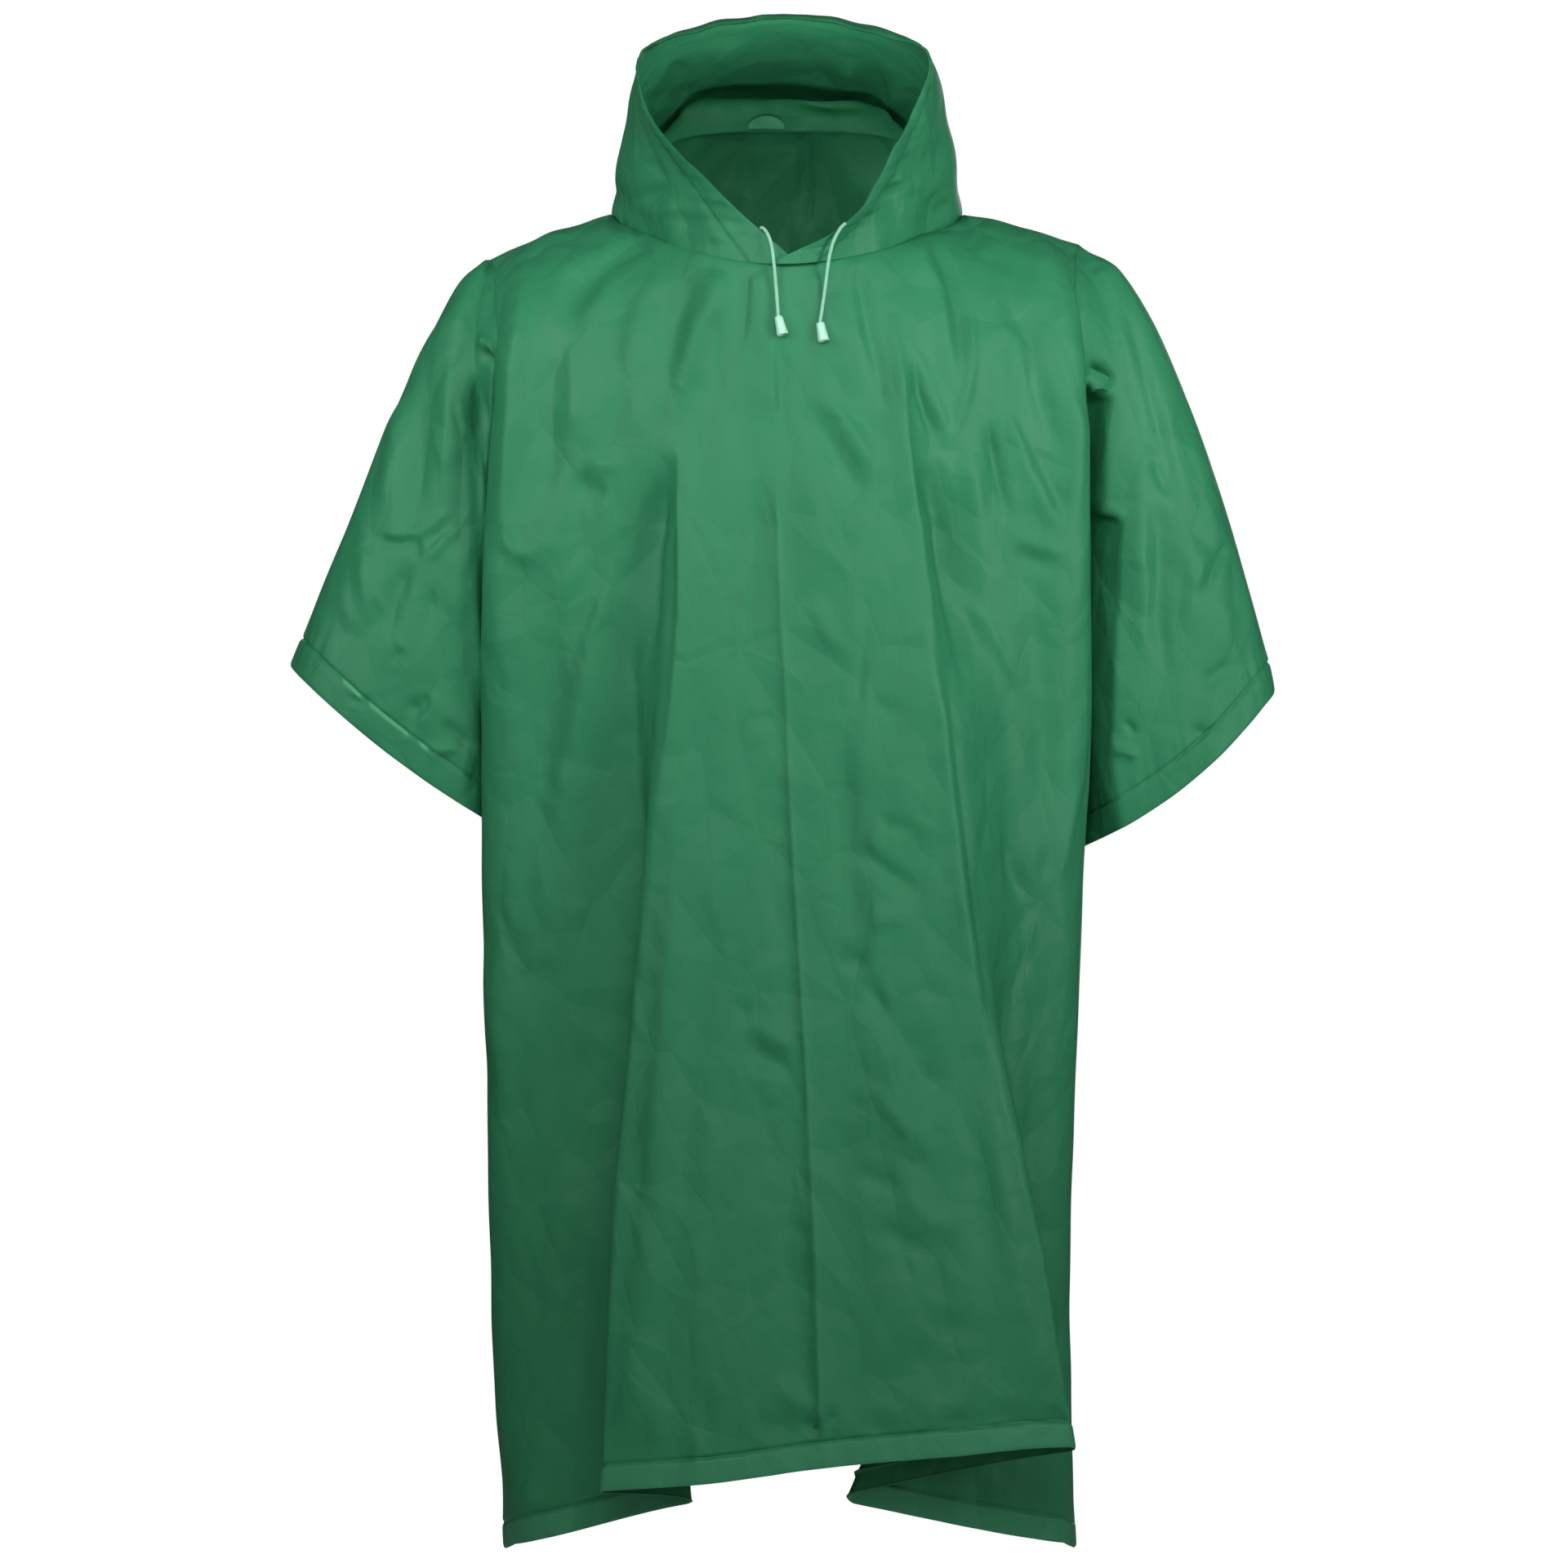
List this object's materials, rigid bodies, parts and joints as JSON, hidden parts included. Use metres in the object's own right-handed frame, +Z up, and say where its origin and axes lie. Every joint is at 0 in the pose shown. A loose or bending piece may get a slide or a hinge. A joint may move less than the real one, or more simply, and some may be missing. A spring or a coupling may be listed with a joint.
{
  "type": "rain poncho",
  "caption": "Hooded knee-length rain poncho of soft green plastic film with half sleeves, welded hems and a drawcord, in its worn shape.",
  "frame": {"origin": "midway between the neck points of the two shoulder seams, where the poncho hangs on the wearer's shoulders", "axes": "+Z up, -Y the front with the face opening, +X the wearer's left"},
  "size_m": [0.8174, 0.3949, 1.2712],
  "materials": {
    "film": "soft green PEVA film, semi-matte with a low sheen and fine wrinkles",
    "hem_film": "the same film, turned and welded in two layers",
    "cord": "pale mint braided polyester cord",
    "stopper": "pale mint moulded plastic, slightly translucent"
  },
  "bodies": {
    "root": {"front_panel": "film", "back_panel": "film", "sleeve_right": "film", "sleeve_left": "film", "hood_right": "film", "hood_left": "film", "front_hem": "hem_film", "back_hem": "hem_film", "sleeve_hem_right": "hem_film", "sleeve_hem_left": "hem_film", "hood_casing_right": "hem_film", "hood_casing_left": "hem_film", "hanging_tab": "hem_film", "drawcord_right": "cord", "drawcord_left": "cord", "cord_stopper_right": "stopper", "cord_stopper_left": "stopper"}
  },
  "joints": []
}
